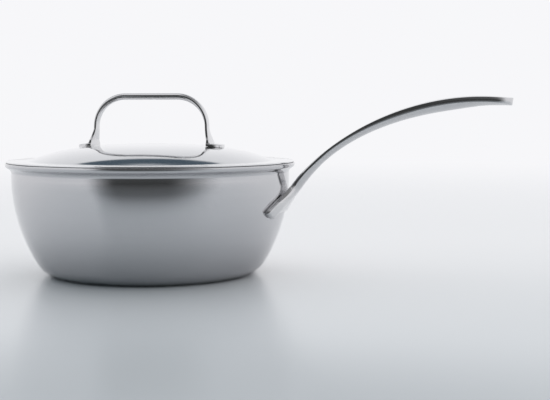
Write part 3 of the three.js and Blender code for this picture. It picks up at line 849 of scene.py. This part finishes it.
bpy.ops.mesh.primitive_circle_add(vertices=96, radius=TABLE_REACH, fill_type="NGON")
table = bpy.context.object
table.name = "table_top"
table.location.z = -TABLE_GAP
pale = bpy.data.materials.new("pale_table")
pale.use_nodes = True
pale_shader = pale.node_tree.nodes["Principled BSDF"]
pale_shader.inputs["Roughness"].default_value = TABLE_SHEEN
table_place = place_on(pale_shader)
table_x, table_y, _ = split(table_place)
behind_pan = table_y * math.cos(VIEW_TURN) - table_x * math.sin(VIEW_TURN)
# Painted shade: the table's colour darkens towards the camera, standing in for the light's fall-off at
# the front.
painted_falloff = behind_pan.ease(TABLE_SHADE_FROM, TABLE_SHADE_TO)
painted_falloff.tint(TABLE_SHADED_FRONT, TABLE_LIT_BACK).into(pale_shader.inputs["Base Color"])
length = {"operation": "LENGTH"}
from_pan = table_place.make("ShaderNodeVectorMath", length, {0: table_place}, out="Value")
far_off = from_pan.ease(BACKDROP_FROM, BACKDROP_TO)
near_by = Grain(pale_shader.outputs["BSDF"])
backdrop = table_place.make("ShaderNodeEmission", {}, {"Color": (*BACKDROP, 1), "Strength": 1.0})
run_out = table_place.make("ShaderNodeMixShader", {}, {0: far_off, 1: near_by, 2: backdrop})
run_out.into(pale.node_tree.nodes["Material Output"].inputs["Surface"])
table.data.materials.append(pale)

# Studio: a pale surround whose light comes mostly from behind, and three dark sheets of painted
# reflection that only show as dark tones in the metal. The long one lies on the table as a painted
# shadow of the pan and runs up behind the camera and over the pan, a strip hangs high behind the pan,
# and a corner sheet high on the handle's side.
FRONT_LIGHT = (0.21, 0.285, 0.32)
BACK_LIGHT = (0.98, 0.98, 1.0)
LIGHT_GRADE = (-1.0, 0.3)
LIGHT_TURN = math.radians(-25)
REFLECTED_DARK = (0.048, 0.050, 0.050)
REFLECTED_HIGH_DARK = (0.060, 0.085, 0.110)
REFLECTION_MOTTLE = 1.2
REFLECTION_LEFT_FADE = -0.6
LONG_FADE = [(0.72, 0, 0.3), (0.28, 0.2, 1.1), (-1, 3.5, 4.0)]
HIGH_FADE = [(0.2, 0, 1.2), (0.8, 1.22, 1.33), (-1, 1.70, 1.95)]
CORNER_FADE = [(0.75, 0, 0.2), (-0.75, 1.6, 1.9)]
FAN_FROM = Vector((0.02, -0.12))
FAN_MIDDLE = 18
FAN_LEFT = 70
FAN_RIGHT = 50
# Painted shadow: the long sheet's front rows lie on the table in the shape of the pan's shadow, seen
# only in the metal's reflections.
REFLECTED_SHADOW_SPREAD = [(-away, 0.004) for away in (0.20, 0.30, 0.45, 0.70, 1.00, 1.30)] + [(-1.50, 0.12)]
RISING_MIDDLE = -0.3
RISING_LEFT = 1.0
RISING_RIGHT = 2.9
RISING_SPREAD = [
    (-1.58, 0.40), (-1.58, 0.80), (-1.55, 1.15), (-1.40, 1.40), (-1.10, 1.52), (-0.60, 1.56),
    (0.00, 1.56),
]
HIGH_HALF_WIDTH = 3.2
HIGH_SPREAD = [(1.90, 0.25 + 0.1 * i) for i in range(24)]
CORNER_MIDDLE = 0.9
CORNER_HALF_WIDTH = 1.1
CORNER_SPREAD = [
    (0.70, 0.90), (0.70, 1.10), (0.70, 1.30), (0.68, 1.50), (0.62, 1.70), (0.50, 1.85),
    (0.30, 1.95), (0.10, 2.00), (-0.10, 2.02), (-0.30, 2.02), (-0.50, 2.02),
]


def fanned_shadow(away, share):
    """Across the long painted reflection's front, a painted shadow of the pan on the table, which fans
    out from the pan to both sides of the camera.
    """
    turn = FAN_MIDDLE + (FAN_RIGHT if share > 0 else FAN_LEFT) * share
    return FAN_FROM.x + (FAN_FROM.y - away) * math.tan(math.radians(turn))


def rising(away, share):
    """Across the long painted reflection where it rises, wider on the handle's side."""
    return RISING_MIDDLE + (RISING_RIGHT if share > 0 else RISING_LEFT) * share


def high_across(away, share):
    return HIGH_HALF_WIDTH * share


def corner_across(away, share):
    return CORNER_MIDDLE + CORNER_HALF_WIDTH * share


def painted_reflection_sheet(name, colour, lines, fade):
    """A sheet of painted dark reflection through lines that run across the view, dark where its fade
    adds up to 1.

    Each step of the fade is what it adds, and from where to where along the sheet it comes in.
    """
    shape = bmesh.new()
    spread = shape.loops.layers.uv.new("spread")
    rows = []
    run = 0.0
    for k, (away, height, across) in enumerate(lines):
        if k:
            run += math.hypot(away - lines[k - 1][0], height - lines[k - 1][1])
        row = []
        for i in range(-12, 13):
            x = across(away, i / 12)
            turned_x = x * math.cos(VIEW_TURN) - away * math.sin(VIEW_TURN)
            turned_y = x * math.sin(VIEW_TURN) + away * math.cos(VIEW_TURN)
            row.append((shape.verts.new((turned_x, turned_y, height)), (i / 12, run)))
        rows.append(row)
    for low, high in zip(rows, rows[1:]):
        for i in range(24):
            corners = (low[i], low[i + 1], high[i + 1], high[i])
            face = shape.faces.new([corner for corner, _ in corners])
            for loop, (_, place) in zip(face.loops, corners):
                loop[spread].uv = place
    # Painted reflection: the sheet is hidden from the camera, from diffuse light and from shadows, and
    # shows only as dark tones reflected in the metal.
    reflector = finished(name, shape, 180)
    reflector.visible_camera = False
    reflector.visible_diffuse = False
    reflector.visible_shadow = False
    dark = bpy.data.materials.new(name)
    dark.use_nodes = True
    place = place_on(dark.node_tree.nodes["Principled BSDF"], "UV")
    across, along, _ = split(place)
    mottled = [REFLECTION_MOTTLE * part for part in colour]
    tone = place.cloud(across=60, along=60).tint(colour, mottled)
    light = place.make("ShaderNodeEmission", {}, {"Color": tone, "Strength": 1.0})
    clear = place.make("ShaderNodeBsdfTransparent", {}, {})
    share = sum(amount * along.ease(low, high) for amount, low, high in fade)
    share *= 1 - across.ease(0, 1) - across.ease(REFLECTION_LEFT_FADE, -1)
    hanging = place.make("ShaderNodeMixShader", {}, {0: share, 1: clear, 2: light})
    hanging.into(dark.node_tree.nodes["Material Output"].inputs["Surface"])
    reflector.data.materials.append(dark)


long_lines = [(*line, fanned_shadow) for line in REFLECTED_SHADOW_SPREAD] + [(*line, rising) for line in RISING_SPREAD]
high_lines = [(*line, high_across) for line in HIGH_SPREAD]
corner_lines = [(*line, corner_across) for line in CORNER_SPREAD]
painted_reflection_sheet("long_painted_reflection", REFLECTED_DARK, long_lines, LONG_FADE)
painted_reflection_sheet("high_painted_reflection", REFLECTED_HIGH_DARK, high_lines, HIGH_FADE)
painted_reflection_sheet("corner_painted_reflection", REFLECTED_DARK, corner_lines, CORNER_FADE)

surround = bpy.data.worlds.new("pale_surround")
surround.use_nodes = True
surround_shader = surround.node_tree.nodes["Background"]
direction = place_on(surround_shader, "Generated")
direction_x, direction_y, _ = split(direction)
backwards = direction_y * math.cos(LIGHT_TURN) - direction_x * math.sin(LIGHT_TURN)
lit = backwards.ease(*LIGHT_GRADE).tint(FRONT_LIGHT, BACK_LIGHT)
ray_kinds = ("Is Camera Ray", "Is Glossy Ray", "Is Transmission Ray")
seen = sum(direction.make("ShaderNodeLightPath", {}, {}, out=ray_kinds))
seen.tint(lit, BACKDROP).into(surround_shader.inputs["Color"])
bpy.context.scene.world = surround

# Camera: at the photograph's height and angle, level with the lid's handle and a little to
# the long handle's side of the pan, with a long lens tilted slightly down.
CAMERA_PLACE = (0.24045, -0.93705, 0.1388)
CAMERA_TILT = math.radians(85.5)
CAMERA_LENS = 72
CAMERA_SENSOR = 36

camera_data = bpy.data.cameras.new("camera")
camera_data.lens = CAMERA_LENS
camera_data.sensor_width = CAMERA_SENSOR
camera = bpy.data.objects.new("camera", camera_data)
camera.location = CAMERA_PLACE
camera.rotation_euler = (CAMERA_TILT, 0, VIEW_TURN)
bpy.context.scene.collection.objects.link(camera)
bpy.context.scene.camera = camera
bpy.context.scene.view_settings.view_transform = "Standard"
